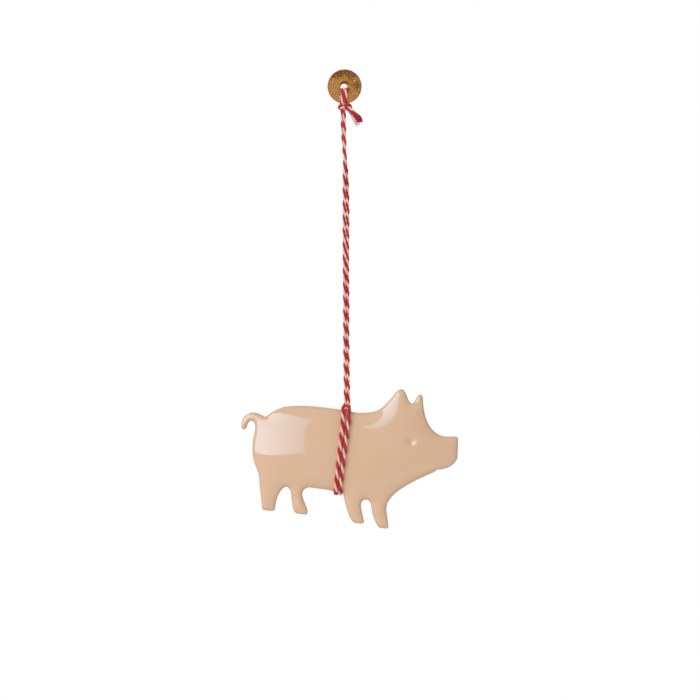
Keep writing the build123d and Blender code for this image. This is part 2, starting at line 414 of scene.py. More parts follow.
@dataclass(frozen=True)
class YarnFinish:
    """Cotton yarn: soft fibres that run round the ply, with painted shade in the grooves between them.

    Attributes:
        name: The material's name.
        dyed: The colour of the lit fibres.
        shade: The painted shade deep between the fibres.
        fibre_lay: Length in which a fibre goes once round its ply.
        fibres: How many fibre ridges lie side by side.
        streaks: How often a ridge begins anew along the ply, to the metre.
        relief: Height of the ridges.
    """

    name: str
    dyed: Colour
    shade: Colour
    fibre_lay: float = 2.6 * MM
    fibres: float = 3.4
    streaks: float = 0.35 / MM
    relief: float = 0.045 * MM

    ALONG = "yarn_along"
    SECTION = "yarn_section"

    def material(self) -> bpy.types.Material:
        """Builds the yarn's nodes."""
        made, bench = blank_material(self.name)
        along = bench.add("ShaderNodeAttribute", attribute_name=self.ALONG).outputs["Fac"]
        section = bench.add("ShaderNodeAttribute", attribute_name=self.SECTION).outputs["Vector"]
        turn = bench.math("MULTIPLY", along, 2 * math.pi / self.fibre_lay)
        feeds = {"Vector": section, "Angle": turn}
        wound = bench.add("ShaderNodeVectorRotate", feeds, rotation_type="Z_AXIS").outputs["Vector"]
        wound = bench.vector("SCALE", wound, scale=self.fibres)
        lift = bench.add("ShaderNodeCombineXYZ", {"Z": bench.math("MULTIPLY", along, self.streaks)})
        place = bench.vector("ADD", wound, lift.outputs["Vector"])
        strands = cloud(bench, place, 1.0, 3.0, 0.7)
        ridge = bench.ramp(strands, 0.32, 0.62)
        bench.surface({
            # Painted shade in the grooves between the fibre ridges.
            "Base Color": bench.mix(ridge, linear(self.shade), linear(self.dyed)),
            "Roughness": 0.85,
            "Sheen Weight": 0.35,
            "Sheen Roughness": 0.45,
            "Specular IOR Level": 0.25,
            "Normal": bench.bumped(strands, 0.8, self.relief),
        })
        return made


RED_YARN = YarnFinish(name="red_cotton", dyed=(206, 46, 56), shade=(154, 20, 30))
CREAM_YARN = YarnFinish(name="cream_cotton", dyed=(246, 216, 198), shade=(216, 168, 148))
# The opened cream fibres are paler than the laid ply, and their groove shade is lifted almost to white to offset the
# shade among the loose hairs: partly real pallor, partly painted light.
CREAM_FLUFF = YarnFinish(name="cream_fluff", dyed=(254, 247, 243), shade=(246, 234, 227))


def blank_tree(name: str, inputs: dict[str, tuple[str, Any]]) -> tuple[NodeBench, Callable[[str], Socket], Socket]:
    """A new Geometry Nodes tree with named inputs and one geometry output.

    Args:
        name: The tree's name.
        inputs: Input name, and its socket type and first value.

    Returns:
        The bench, a way to look an input up by name, and the socket that takes the result.
    """
    tree = bpy.data.node_groups.new(name, "GeometryNodeTree")
    tree.interface.new_socket("Geometry", in_out="OUTPUT", socket_type="NodeSocketGeometry")
    tree.interface.new_socket("Geometry", in_out="INPUT", socket_type="NodeSocketGeometry")
    for label, (kind, value) in inputs.items():
        socket = tree.interface.new_socket(label, in_out="INPUT", socket_type=kind)
        if value is not None:
            socket.default_value = value
    bench = NodeBench(tree)
    entry = bench.add("NodeGroupInput")
    leave = bench.add("NodeGroupOutput")
    return bench, lambda label: entry.outputs[label], leave.inputs["Geometry"]


def grown(name: str, seed: bpy.types.Mesh, tree: bpy.types.NodeTree, values: dict[str, Any]) -> bpy.types.Object:
    """Runs a Geometry Nodes tree on a mesh and keeps the result as a plain mesh.

    Args:
        name: The piece's name.
        seed: The mesh that goes into the tree.
        tree: The tree.
        values: Input name and value.

    Returns:
        The finished object, with no modifier left.
    """
    piece = placed(name, seed)
    modifier = piece.modifiers.new(name, "NODES")
    modifier.node_group = tree
    known = {item.name: item.identifier for item in tree.interface.items_tree if item.in_out == "INPUT"}
    for label, value in values.items():
        modifier[known[label]] = value
    graph = bpy.context.evaluated_depsgraph_get()
    evaluated = piece.evaluated_get(graph)
    result = bpy.data.meshes.new_from_object(evaluated, preserve_all_data_layers=True, depsgraph=graph)
    piece.modifiers.clear()
    piece.data = result
    result.name = name
    bpy.data.meshes.remove(seed)
    return piece


def route_line(name: str, points: list[Vector]) -> bpy.types.Mesh:
    """The smooth line of a cord.

    Args:
        name: The line's name.
        points: The control points of its route, in metres.

    Returns:
        A mesh of edges along the NURBS line through the route.
    """
    curve = bpy.data.curves.new(name, "CURVE")
    curve.dimensions = "3D"
    curve.resolution_u = 16
    spline = curve.splines.new("NURBS")
    spline.points.add(len(points) - 1)
    for spot, point in zip(spline.points, points):
        spot.co = (*point, 1.0)
    spline.order_u = 3
    spline.use_endpoint_u = True
    holder = placed(name, curve)
    graph = bpy.context.evaluated_depsgraph_get()
    line = bpy.data.meshes.new_from_object(holder.evaluated_get(graph), depsgraph=graph)
    bpy.data.objects.remove(holder)
    bpy.data.curves.remove(curve)
    return line


@dataclass
class TwineShop:
    """Lays two dyed plies along a route as twine, and frays the plies of a cut end.

    Attributes:
        red: The red yarn's material.
        cream: The cream yarn's material.
        ply_shares: Radius of the red and the cream ply as a share of the strand's radius.
        ply_offset_share: How far a ply's centre lies from the strand's centre, as such a share.
        ply_sides: Sides of a ply's section.
        rings_per_lay: Sections of a ply in each full turn.
        hair_length: Length of a loose fibre.
        hair_radius: Radius of a loose fibre at its root.
        hairs: Loose fibres to the square millimetre of a laid ply.
        hair_upright: How strongly a fibre stands up from its ply, where 1 is as strong as chance.
        hair_sizes: Shortest and longest fibre, as shares of the hair length.
        thread_points: Points along a thread of a frayed end.
        thread_sides: Sides of its section.
        thread_twist: Turn of the threads about each other, in radians.
        thread_waves: Waves of the threads to the metre.
        opening: Between which shares of its length a frayed end opens.
        tip_taper: From which share of its length a thread thins, and how much of its radius its tip keeps.
    """

    red: bpy.types.Material
    cream: bpy.types.Material
    ply_shares: tuple[float, float] = (0.8, 0.6)
    ply_offset_share: float = 0.42
    ply_sides: int = 12
    rings_per_lay: int = 26
    hair_length: float = 0.42 * MM
    hair_radius: float = 0.011 * MM
    hairs: float = 26.0
    hair_upright: float = 0.7
    hair_sizes: tuple[float, float] = (0.35, 1.0)
    thread_points: int = 28
    thread_sides: int = 6
    thread_twist: float = 3.0
    thread_waves: float = 900.0
    opening: tuple[float, float] = (0.1, 0.85)
    tip_taper: tuple[float, float] = (0.6, 0.45)
    laid_tree: bpy.types.NodeTree = field(init=False)
    frayed_tree: bpy.types.NodeTree = field(init=False)

    def __post_init__(self) -> None:
        """Builds the two trees that every stretch shares."""
        self.laid_tree = self._build_laid_tree()
        self.frayed_tree = self._build_frayed_tree()

    def _around(self, bench: NodeBench, angle: Socket, reach: Socket) -> Socket:
        """The way from a curve to a spot beside it, at an angle round it and some distance away."""
        across = bench.add("GeometryNodeInputNormal").outputs["Normal"]
        forward = bench.add("GeometryNodeInputTangent").outputs["Tangent"]
        square = bench.vector("CROSS_PRODUCT", forward, across)
        first = bench.vector("SCALE", across, scale=bench.math("COSINE", angle))
        second = bench.vector("SCALE", square, scale=bench.math("SINE", angle))
        return bench.vector("SCALE", bench.vector("ADD", first, second), scale=reach)

    def _yarn(self, bench: NodeBench, line: Socket, radius: Socket, sides: int, scale: Any) -> Socket:
        """Wraps a yarn's round section along a line, and notes where each point lies on it.

        Args:
            bench: Where the nodes go.
            line: The yarn's centre line.
            radius: The yarn's radius.
            sides: Sides of its section.
            scale: Share of the radius at each point.

        Returns:
            The yarn's mesh.
        """
        parameter = bench.add("GeometryNodeSplineParameter")
        feeds = {"Geometry": line, "Name": YarnFinish.ALONG, "Value": parameter.outputs["Length"]}
        marked = bench.add("GeometryNodeStoreNamedAttribute", feeds, data_type="FLOAT", domain="POINT")
        circle = bench.add("GeometryNodeCurvePrimitiveCircle", {"Resolution": sides, "Radius": 1.0})
        spot = bench.add("GeometryNodeInputPosition").outputs["Position"]
        store = bench.add("GeometryNodeStoreNamedAttribute", {"Name": YarnFinish.SECTION},
                          data_type="FLOAT_VECTOR", domain="POINT")
        bench.feed(store.inputs["Geometry"], circle.outputs["Curve"])
        bench.feed(store.inputs["Value"], spot)
        sized = bench.add("GeometryNodeTransform", {"Geometry": store.outputs["Geometry"]})
        spread = bench.add("ShaderNodeCombineXYZ", {"X": radius, "Y": radius, "Z": radius}).outputs["Vector"]
        bench.feed(sized.inputs["Scale"], spread)
        feeds = {"Curve": marked.outputs["Geometry"], "Radius": scale}
        thinned = bench.add("GeometryNodeSetCurveRadius", feeds)
        feeds = {"Curve": thinned.outputs["Curve"], "Profile Curve": sized.outputs["Geometry"], "Fill Caps": True}
        tube = bench.add("GeometryNodeCurveToMesh", feeds)
        if "Scale" in tube.inputs:
            curve_radius = bench.add("GeometryNodeInputRadius").outputs["Radius"]
            bench.feed(tube.inputs["Scale"], curve_radius)
        return tube.outputs["Mesh"]

    def _hairs(self, bench: NodeBench, skin: Socket, density: Socket, length: Socket, seed: Any) -> Socket:
        """Grows loose fibres from a yarn.

        Args:
            bench: Where the nodes go.
            skin: The yarn's mesh.
            density: Fibres to the square metre.
            length: Length of a fibre.
            seed: Seed of the random draws.

        Returns:
            The fibres, as instances.
        """
        feeds = {"Mesh": skin, "Density": density, "Seed": seed}
        roots = bench.add("GeometryNodeDistributePointsOnFaces", feeds, distribute_method="RANDOM")
        feeds = {"Vertices": 3, "Radius Top": 0.0, "Radius Bottom": self.hair_radius, "Depth": length}
        hair = bench.add("GeometryNodeMeshCone", feeds, fill_type="NONE")
        lean = bench.add("FunctionNodeRandomValue", {"Seed": seed}, data_type="FLOAT_VECTOR")
        bench.feed(lean.inputs[0], (-1.0, -1.0, -1.0))
        bench.feed(lean.inputs[1], (1.0, 1.0, 1.0))
        aim = bench.vector("SCALE", roots.outputs["Normal"], scale=self.hair_upright)
        aim = bench.vector("ADD", aim, lean.outputs["Value"])
        turned = bench.add("FunctionNodeAlignRotationToVector", {"Vector": aim}, axis="Z")
        size = bench.add("FunctionNodeRandomValue", {"Seed": seed}, data_type="FLOAT")
        bench.feed(size.inputs[2], self.hair_sizes[0])
        bench.feed(size.inputs[3], self.hair_sizes[1])
        feeds = {
            "Points": roots.outputs["Points"],
            "Instance": hair.outputs["Mesh"],
            "Rotation": turned.outputs["Rotation"],
            "Scale": size.outputs["Value"],
        }
        return bench.add("GeometryNodeInstanceOnPoints", feeds).outputs["Instances"]

    def _build_laid_tree(self) -> bpy.types.NodeTree:
        """The tree that lays two plies and their loose fibres along a route."""
        inputs = {
            "Strand Radius": ("NodeSocketFloat", 0.5 * MM),
            "Lay Length": ("NodeSocketFloat", 4.2 * MM),
            "Lay Sense": ("NodeSocketFloat", float(Twist.S_LAID)),
            "Start Turn": ("NodeSocketFloat", 0.0),
            "Slack From": ("NodeSocketFloat", 0.0),
            "Slack To": ("NodeSocketFloat", 1.0),
            "Slack Turns": ("NodeSocketFloat", 0.0),
            "Hair Density": ("NodeSocketFloat", 0.0),
            "Hair Length": ("NodeSocketFloat", self.hair_length),
            "Seed": ("NodeSocketInt", 1),
            "Red": ("NodeSocketMaterial", None),
            "Cream": ("NodeSocketMaterial", None),
        }
        bench, given, result = blank_tree("laid_twine", inputs)
        line = bench.add("GeometryNodeMeshToCurve", {"Mesh": given("Geometry")}).outputs["Curve"]
        step = bench.math("DIVIDE", given("Lay Length"), float(self.rings_per_lay))
        feeds = {"Curve": line, "Length": step}
        even = bench.add("GeometryNodeResampleCurve", feeds, mode="LENGTH").outputs["Curve"]
        plies = []
        for number, dye in enumerate(("Red", "Cream")):
            length = bench.add("GeometryNodeSplineParameter").outputs["Length"]
            turns = bench.math("DIVIDE", length, given("Lay Length"))
            turns = bench.math("MULTIPLY", turns, given("Lay Sense"))
            turns = bench.math("ADD", turns, given("Start Turn"))
            eased = bench.ramp(length, given("Slack From"), given("Slack To"))
            turns = bench.math("MULTIPLY_ADD", eased, given("Slack Turns"), turns)
            angle = bench.math("MULTIPLY", turns, 2 * math.pi)
            angle = bench.math("ADD", angle, number * math.pi)
            reach = bench.math("MULTIPLY", given("Strand Radius"), self.ply_offset_share)
            feeds = {"Geometry": even, "Offset": self._around(bench, angle, reach)}
            helix = bench.add("GeometryNodeSetPosition", feeds).outputs["Geometry"]
            radius = bench.math("MULTIPLY", given("Strand Radius"), self.ply_shares[number])
            ply = self._yarn(bench, helix, radius, self.ply_sides, 1.0)
            seed = bench.math("ADD", given("Seed"), float(number))
            hairs = self._hairs(bench, ply, given("Hair Density"), given("Hair Length"), seed)
            plies.append(bench.dressed(bench.joined(hairs, ply), given(dye)))
        bench.feed(result, bench.joined(*plies))
        return bench.tree

    def _build_frayed_tree(self) -> bpy.types.NodeTree:
        """The tree that opens one ply of a cut end into a spray of wavy threads."""
        inputs = {
            "Threads": ("NodeSocketInt", 18),
            "Thread Radius": ("NodeSocketFloat", 0.12 * MM),
            "Root Spread": ("NodeSocketFloat", 0.15 * MM),
            "Tip Spread": ("NodeSocketFloat", 0.7 * MM),
            "Wander": ("NodeSocketFloat", 0.5 * MM),
            "Hair Density": ("NodeSocketFloat", 0.0),
            "Hair Length": ("NodeSocketFloat", self.hair_length),
            "Seed": ("NodeSocketInt", 3),
            "Dye": ("NodeSocketMaterial", None),
        }
        bench, given, result = blank_tree("frayed_ply", inputs)
        line = bench.add("GeometryNodeMeshToCurve", {"Mesh": given("Geometry")}).outputs["Curve"]
        feeds = {"Curve": line, "Count": self.thread_points}
        even = bench.add("GeometryNodeResampleCurve", feeds, mode="COUNT").outputs["Curve"]
        feeds = {"Geometry": even, "Amount": given("Threads")}
        many = bench.add("GeometryNodeDuplicateElements", feeds, domain="SPLINE")
        number = many.outputs["Duplicate Index"]
        feeds = {"Geometry": many.outputs["Geometry"], "Name": "thread", "Value": number}
        numbered = bench.add("GeometryNodeStoreNamedAttribute", feeds, data_type="INT", domain="CURVE")
        which = bench.add("GeometryNodeInputNamedAttribute", {"Name": "thread"}, data_type="INT").outputs[0]
        share = bench.add("GeometryNodeSplineParameter").outputs["Factor"]
        draws = []
        for turn in range(3):
            draw = bench.add("FunctionNodeRandomValue", {"ID": which}, data_type="FLOAT")
            bench.feed(draw.inputs["Seed"], bench.math("ADD", given("Seed"), float(turn)))
            draws.append(draw.outputs["Value"] if draw.outputs["Value"].enabled else draw.outputs[1])
        angle = bench.math("MULTIPLY", draws[0], 2 * math.pi)
        angle = bench.math("ADD", angle, bench.math("MULTIPLY", share, self.thread_twist))
        opening = bench.ramp(share, *self.opening)
        spread = bench.choose(opening, given("Root Spread"), given("Tip Spread"))
        away = bench.math("MULTIPLY", bench.math("SQRT", draws[1]), spread)
        offset = self._around(bench, angle, away)
        spot = bench.add("GeometryNodeInputPosition").outputs["Position"]
        shift = bench.add("ShaderNodeCombineXYZ", {"Y": bench.math("MULTIPLY", draws[2], 0.2)}).outputs[0]
        feeds = {"Vector": bench.vector("ADD", spot, shift), "Scale": self.thread_waves, "Detail": 2.0}
        wave = bench.add("ShaderNodeTexNoise", feeds).outputs["Color"]
        wave = bench.vector("SUBTRACT", wave, (0.5, 0.5, 0.5))
        sway = bench.math("MULTIPLY", given("Wander"), opening)
        wave = bench.vector("SCALE", wave, scale=bench.math("MULTIPLY", sway, 2.0))
        feeds = {"Geometry": numbered.outputs["Geometry"], "Offset": bench.vector("ADD", offset, wave)}
        loose = bench.add("GeometryNodeSetPosition", feeds).outputs["Geometry"]
        thinning, tip = self.tip_taper
        taper = bench.ramp(share, thinning, 1.0, 1.0, tip)
        threads = self._yarn(bench, loose, given("Thread Radius"), self.thread_sides, taper)
        hairs = self._hairs(bench, threads, given("Hair Density"), given("Hair Length"), given("Seed"))
        bench.feed(result, bench.dressed(bench.joined(hairs, threads), given("Dye")))
        return bench.tree

    def laid(self, name: str, route: list[Vector], radius: float, lay: float, start: float, seed: int,
             slack: tuple[float, float, float] = (0.0, 1.0, 0.0)) -> tuple[bpy.types.Object, list[Vector]]:
        """Lays twine along a route.

        Args:
            name: The piece's name.
            route: Control points of its line, in metres.
            radius: Radius of the strand.
            lay: Length of one full turn of the plies.
            start: Turn of the plies at the start, as a share of a full one.
            seed: Seed of its loose fibres.
            slack: Between which shares of its length the plies lose turns, and how many. A number below 0
                is turns that they gain.

        Returns:
            The strand, and the points of the line that it follows.
        """
        line = route_line(name, route)
        path = [vertex.co.copy() for vertex in line.vertices]
        length = path_length(path)
        low, high, lost = slack
        values = {
            "Slack From": low * length,
            "Slack To": high * length,
            "Slack Turns": -float(Twist.S_LAID) * lost,
            "Strand Radius": radius,
            "Lay Length": lay,
            "Lay Sense": float(Twist.S_LAID),
            "Start Turn": start,
            "Hair Density": self.hairs / MM**2,
            "Seed": seed,
            "Red": self.red,
            "Cream": self.cream,
        }
        piece = grown(name, line, self.laid_tree, values)
        LOG.info("%s: %d faces", name, len(piece.data.polygons))
        return piece, path


@dataclass
class PuffedPig:
    """The pig's enamelled skin, blown up over the outline of its two pressed halves.

    Attributes:
        rim_radius: Radius of the rounded rim.
        rim_evened: Depth within which the rim is evened along the outline.
        swell: How far the side stands out beyond the rim where it is fullest.
        reach: Distance over which the side rises from its rim.
        outline_step: Distance between points of the outline.
        outline_softening: Distance over which the outline is smoothed.
        field_step: Distance between points on the flats.
        eye_place: Where the pressed eye is.
        eye_radius: Radius of the eye's hollow.
        eye_depth: Depth of the eye's hollow.
        eye_step: Distance between points near the eye.
        mouth_place: Where the small notch of the mouth is, on the outline.
        mouth_width: Half width of the notch.
        mouth_depth: Depth of the notch.
        wobble: Height of the hand-finished unevenness.
        wobble_length: Length of its waves.
        smoothing_rounds: How often the blown skin is smoothed.
    """

    rim_radius: float = 1.1 * MM
    rim_evened: float = 0.35 * MM
    swell: float = 2.55 * MM
    reach: float = 8.0 * MM
    outline_step: float = 0.28 * MM
    outline_softening: float = 0.25 * MM
    field_step: float = 0.55 * MM
    eye_place: tuple[float, float] = (21.1 * MM, -114.6 * MM)
    eye_radius: float = 1.35 * MM
    eye_depth: float = 0.58 * MM
    eye_step: float = 0.12 * MM
    mouth_place: tuple[float, float] = (29.7 * MM, -123.6 * MM)
    mouth_width: float = 0.4 * MM
    mouth_depth: float = 0.3 * MM
    wobble: float = 0.02 * MM
    wobble_length: float = 7.5 * MM
    smoothing_rounds: int = 14

    DEPTH_NAME = "outline_depth"
    RIM_RINGS = 7
    EYE_ZONE = 2.6
    FINE_ZONE = 2.5
    SOLVER_ROUNDS = 1500
    SOLVER_END = 1e-12
    SMOOTHING_SHARES = (0.5, -0.52)
    EVENING_ROUNDS = 24
    EVENING_SHARE = 0.6

    def outline(self) -> np.ndarray:
        """The outline of the pressed halves at their seam.

        Returns:
            Evenly spaced points (x, z) once round the pig.
        """
        source = bmesh.new()
        source.from_mesh(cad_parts["pig_front_shell"].data)
        bmesh.ops.remove_doubles(source, verts=source.verts, dist=1e-7)
        flat = {face for face in source.faces if all(abs(v.co.y) < 1e-6 for v in face.verts)}
        edges = {edge for edge in source.edges if sum(face in flat for face in edge.link_faces) == 1}
        loops = []
        while edges:
            edge = edges.pop()
            loop = [edge.verts[0], edge.verts[1]]
            while True:
                onward = [other for other in loop[-1].link_edges if other in edges]
                if not onward:
                    break
                edges.discard(onward[0])
                loop.append(onward[0].other_vert(loop[-1]))
            loops.append(np.array([(v.co.x, v.co.z) for v in loop[:-1]]))
        source.free()
        rim = max(loops, key=lambda points: np.ptp(points[:, 0]))
        return self._notched(self._even(self._softened(self._even(self._begun(rim)))))

    @staticmethod
    def _turning(loop: np.ndarray) -> float:
        """Twice the area inside the loop, above 0 if it runs anticlockwise."""
        return (loop[:, 0] * np.roll(loop[:, 1], -1) - loop[:, 1] * np.roll(loop[:, 0], -1)).sum()

    def _begun(self, loop: np.ndarray) -> np.ndarray:
        """The same loop from its leftmost point anticlockwise.

        Its edges come out of a set, in an order that changes from run to run, and the skin must not.
        """
        loop = loop if self._turning(loop) > 0 else loop[::-1]
        return np.roll(loop, -int(loop[:, 0].argmin()), axis=0)

    def _notched(self, loop: np.ndarray) -> np.ndarray:
        """The same loop with the small notch of the mouth in the jaw."""
        away = np.linalg.norm(loop - np.array(self.mouth_place), axis=1)
        depth = self.mouth_depth * np.exp(-((away - away.min()) / self.mouth_width) ** 2)
        return loop + self._inward(loop) * depth[:, None]

    def _inward(self, loop: np.ndarray) -> np.ndarray:
        """Unit vectors that point into the loop at each of its points."""
        run = np.roll(loop, -1, axis=0) - np.roll(loop, 1, axis=0)
        inward = np.column_stack([-run[:, 1], run[:, 0]]) / np.linalg.norm(run, axis=1)[:, None]
        return inward if self._turning(loop) > 0 else -inward

    def _even(self, loop: np.ndarray) -> np.ndarray:
        """The same closed loop with evenly spaced points."""
        closed = np.vstack([loop, loop[:1]])
        marks = np.concatenate([[0.0], np.cumsum(np.linalg.norm(np.diff(closed, axis=0), axis=1))])
        count = int(round(marks[-1] / self.outline_step))
        wanted = np.linspace(0.0, marks[-1], count, endpoint=False)
        return np.column_stack([np.interp(wanted, marks, closed[:, axis]) for axis in (0, 1)])

    def _softened(self, loop: np.ndarray) -> np.ndarray:
        """The same loop with the corners between its facets eased."""
        width = self.outline_softening / self.outline_step
        reach = int(math.ceil(3 * width))
        steps = np.arange(-reach, reach + 1)
        weights = np.exp(-0.5 * (steps / width) ** 2)
        weights /= weights.sum()
        return sum(weight * np.roll(loop, -step, axis=0) for step, weight in zip(steps, weights))

    @staticmethod
    def depth_inside(points: np.ndarray, loop: np.ndarray) -> np.ndarray:
        """How deep inside the outline each point lies.

        Args:
            points: Points (x, z).
            loop: The outline.

        Returns:
            Distance to the outline, negative outside.
        """
        start, end = loop, np.roll(loop, -1, axis=0)
        run = end - start
        length = (run**2).sum(axis=1)
        depth = np.empty(len(points))
        for low in range(0, len(points), 500):
            part = points[low:low + 500]
            away = part[:, None, :] - start[None, :, :]
            share = np.clip((away * run).sum(axis=2) / length, 0, 1)
            nearest = np.linalg.norm(away - share[:, :, None] * run, axis=2).min(axis=1)
            above = (start[None, :, 1] > part[:, None, 1]) != (end[None, :, 1] > part[:, None, 1])
            rise = np.where(run[:, 1] == 0, 1e-12, run[:, 1])
            cut = start[None, :, 0] + (part[:, None, 1] - start[None, :, 1]) * run[:, 0] / rise
            inside = (above & (part[:, None, 0] < cut)).sum(axis=1) % 2 == 1
            depth[low:low + 500] = np.where(inside, nearest, -nearest)
        return depth

    def _field(self, loop: np.ndarray) -> np.ndarray:
        """Points inside the outline: rings that follow the rim, a lattice on the flats, and a finer one at the eye."""
        inward = self._inward(loop)
        rings = np.empty((0, 2))
        last = 0.0
        for ring in range(1, self.RIM_RINGS + 2):
            turn = math.pi / 2 * ring / self.RIM_RINGS
            depth = self.rim_radius * (1 - math.cos(min(turn, math.pi / 2)))
            depth += max(0.0, turn - math.pi / 2) * self.rim_radius
            points = loop + inward * depth
            true_depth = self.depth_inside(points, loop)
            gap = min(0.6 * self.outline_step, 0.8 * (depth - last))
            rings = self._with_room(rings, points[true_depth > 0.97 * depth], gap)
            last = depth
        lattice = self._lattice(loop.min(axis=0), loop.max(axis=0), self.field_step)
        eye = np.array(self.eye_place)
        near_eye = np.linalg.norm(lattice - eye, axis=1) < self.EYE_ZONE * self.eye_radius
        lattice = lattice[~near_eye]
        lattice = lattice[self.depth_inside(lattice, loop) > last + 0.45 * self.field_step]
        fine = self._lattice(eye - 3 * self.eye_radius, eye + 3 * self.eye_radius, self.eye_step)
        fine = fine[np.linalg.norm(fine - eye, axis=1) < self.FINE_ZONE * self.eye_radius]
        return np.vstack([rings, lattice, fine])

    @staticmethod
    def _with_room(kept: np.ndarray, fresh: np.ndarray, gap: float) -> np.ndarray:
        """Adds those fresh points that lie no closer than the gap to one that is kept."""
        crowd = np.vstack([kept, fresh])
        count = len(kept)
        for point in fresh:
            if count == 0 or ((crowd[:count] - point) ** 2).sum(axis=1).min() > gap**2:
                crowd[count] = point
                count += 1
        return crowd[:count]

    @staticmethod
    def _lattice(low: np.ndarray, high: np.ndarray, step: float) -> np.ndarray:
        """A lattice of equal triangles over a rectangle."""
        rows = []
        row_step = step * math.sqrt(3) / 2
        for number in range(int((high[1] - low[1]) / row_step) + 1):
            across = np.arange(low[0] + (number % 2) * step / 2, high[0], step)
            rows.append(np.column_stack([across, np.full(len(across), low[1] + number * row_step)]))
        return np.vstack(rows)

    def _blown(self, flat: np.ndarray, triangles: np.ndarray, fixed: np.ndarray, reach: float) -> np.ndarray:
        """The height of an elastic skin, held at the outline and blown up evenly.

        Args:
            flat: Points (x, z).
            triangles: Corner numbers.
            fixed: True for the points of the outline.
            reach: Distance over which the skin rises from the outline.

        Returns:
            The height of each point, as a share of the highest.
        """
        count = len(flat)
        first, second, weight = [], [], []
        mass = np.zeros(count)
        for turn in range(3):
            a, b, c = (triangles[:, (turn + k) % 3] for k in range(3))
            to_a, to_b = flat[a] - flat[c], flat[b] - flat[c]
            cross = np.abs(to_a[:, 0] * to_b[:, 1] - to_a[:, 1] * to_b[:, 0])
            cotangent = (to_a * to_b).sum(axis=1) / np.maximum(cross, 1e-14)
            first += [a, b]
            second += [b, a]
            weight += [cotangent / 2, cotangent / 2]
            mass += np.bincount(a, cross / 6, count)
        first, second, weight = map(np.concatenate, (first, second, weight))
        total = np.bincount(first, weight, count) + mass / reach**2
        free = ~fixed

        def stretched(height: np.ndarray) -> np.ndarray:
            """The pull of the skin on each free point."""
            pull = total * height - np.bincount(first, weight * height[second], count)
            return np.where(free, pull, 0.0)

        height = np.zeros(count)
        left = np.where(free, mass, 0.0)
        eased = np.where(free, left / total, 0.0)
        step = eased.copy()
        energy = left @ eased
        for _ in range(self.SOLVER_ROUNDS):
            pulled = stretched(step)
            size = energy / (step @ pulled)
            height += size * step
            left = left - size * pulled
            eased = np.where(free, left / total, 0.0)
            fresh = left @ eased
            if fresh < self.SOLVER_END * mass.sum():
                break
            step = eased + fresh / energy * step
            energy = fresh
        level = np.bincount(first, weight, count)
        for turn in range(2 * self.smoothing_rounds):
            share = self.SMOOTHING_SHARES[turn % 2]
            nearby = np.bincount(first, weight * height[second], count) / np.where(free, level, 1.0)
            height = np.where(free, height + share * (nearby - height), 0.0)
        return height / height.max()

    def _rim(self, flat: np.ndarray, triangles: np.ndarray, fixed: np.ndarray, depth: np.ndarray) -> np.ndarray:
        """How far the rounded rim has risen at each point, from 0 at the outline to 1.

        Args:
            flat: Points (x, z).
            triangles: Corner numbers.
            fixed: True for the points of the outline.
            depth: How deep inside the outline each point lies.

        Returns:
            The share, even along the outline and without a crease in the middle of narrow parts.
        """
        risen = self._blown(flat, triangles, fixed, self.rim_radius)
        straight = 1.0 - np.exp(-np.maximum(depth, 1e-9) / self.rim_radius)
        ratio = np.where(fixed, 1.0, risen / straight)
        pairs = np.vstack([triangles[:, [k, (k + 1) % 3]] for k in range(3)])
        first, second = np.vstack([pairs, pairs[:, ::-1]]).T
        free = (~fixed).astype(float)
        beside = np.maximum(np.bincount(first, free[second], len(flat)), 1.0)
        even = ratio.copy()
        for _ in range(self.EVENING_ROUNDS):
            nearby = np.bincount(first, (even * free)[second], len(flat)) / beside
            even = (1 - self.EVENING_SHARE) * even + self.EVENING_SHARE * nearby
        close = np.exp(-((depth / self.rim_evened) ** 2))
        return np.clip(straight * (ratio + (even - ratio) * close), 0.0, 1.0)

    def build(self, finish: bpy.types.Material) -> None:
        """Makes the skin and dresses it in the finish."""
        loop = self.outline()
        points = np.vstack([loop, self._field(loop)])
        edges = [(k, (k + 1) % len(loop)) for k in range(len(loop))]
        laid = geometry.delaunay_2d_cdt([Vector(point) / MM for point in points], edges, [], 1, 1e-5)
        flat = np.array([tuple(point) for point in laid[0]]) * MM
        triangles = np.array([tuple(face) for face in laid[2]])
        depth = np.maximum(self.depth_inside(flat, loop), 0.0)
        fixed = depth < 1e-4 * MM
        depth[fixed] = 0.0
        shares = self._blown(flat, triangles, fixed, self.reach)
        rim = self._rim(flat, triangles, fixed, depth)
        rounding = self.rim_radius * np.sqrt(rim * (2.0 - rim))
        sides = []
        for face in (-1, 1):
            height = rounding + self.swell * shares
            uneven = np.array([noise.noise(Vector((x, face * 0.02, z)) / self.wobble_length) for x, z in flat])
            height += self.wobble * uneven * np.minimum(depth / self.rim_radius, 1.0)
            away = np.linalg.norm(flat - np.array(self.eye_place), axis=1) / self.eye_radius
            height -= self.eye_depth * np.exp(-(away**2))
            height[fixed] = 0.0
            sides.append(face * height)
        count = len(flat)
        free_number = np.where(fixed, np.arange(count), count + np.cumsum(~fixed) - 1)
        vertices = [(x, y, z) for (x, z), y in zip(flat, sides[0])]
        vertices += [(x, y, z) for (x, z), y in zip(flat[~fixed], sides[1][~fixed])]
        faces = triangles.tolist() + free_number[triangles][:, ::-1].tolist()
        mesh = bpy.data.meshes.new("enamelled_pig")
        mesh.from_pydata(vertices, [], faces)
        turn_outward(mesh)
        mark = mesh.attributes.new(self.DEPTH_NAME, "FLOAT", "POINT")
        mark.data.foreach_set("value", np.concatenate([depth, depth[~fixed]]).astype(np.float32))
        mesh.materials.append(finish)
        piece = placed("enamelled_pig", mesh)
        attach(piece, Body.PIG.value)
        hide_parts("pig_front_shell", "pig_back_shell")
        LOG.info("enamelled_pig: %d outline points, %d faces", len(loop), len(mesh.polygons))


